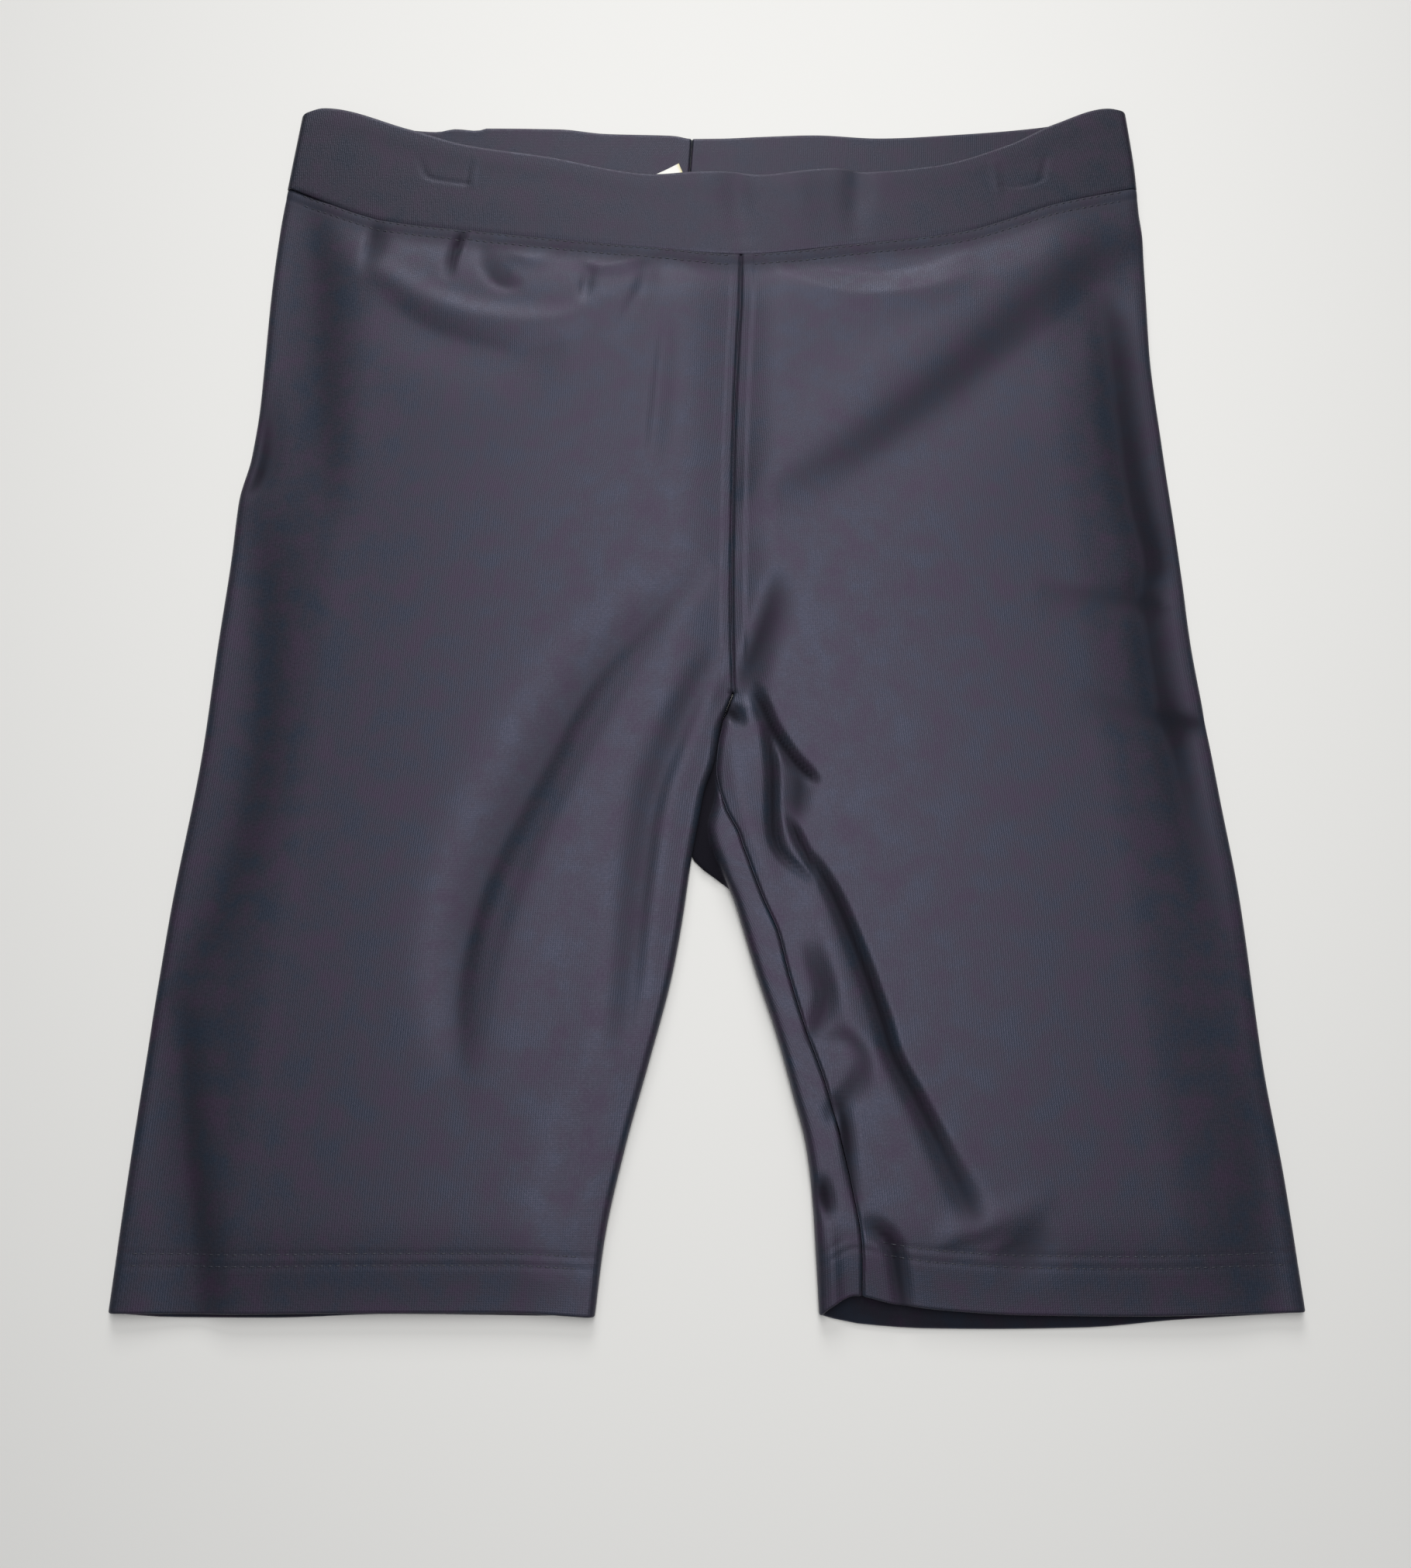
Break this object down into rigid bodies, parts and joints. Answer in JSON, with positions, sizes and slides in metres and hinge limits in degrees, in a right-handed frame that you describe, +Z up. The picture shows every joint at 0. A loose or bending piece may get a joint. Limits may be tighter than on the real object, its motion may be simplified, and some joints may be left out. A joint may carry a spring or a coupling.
{
  "type": "shorts",
  "caption": "Stretch knit biker shorts laid flat, front up, with a wide waistband, one-piece legs and turned hems.",
  "frame": {"origin": "centre of the outline in plan, on the surface that the shorts lie on", "axes": "+Z up from the surface; +Y towards the waist; the wearer's left leg at +X"},
  "size_m": [0.4126, 0.482, 0.0057],
  "materials": {
    "leg_knit": "matte charcoal navy polyamide and elastane tricot knit",
    "band_knit": "the same knit, doubled and topstitched",
    "label_satin": "white woven satin label, bare"
  },
  "bodies": {
    "root": {"right_leg": "leg_knit", "left_leg": "leg_knit", "waistband": "band_knit", "label": "label_satin"}
  },
  "joints": []
}
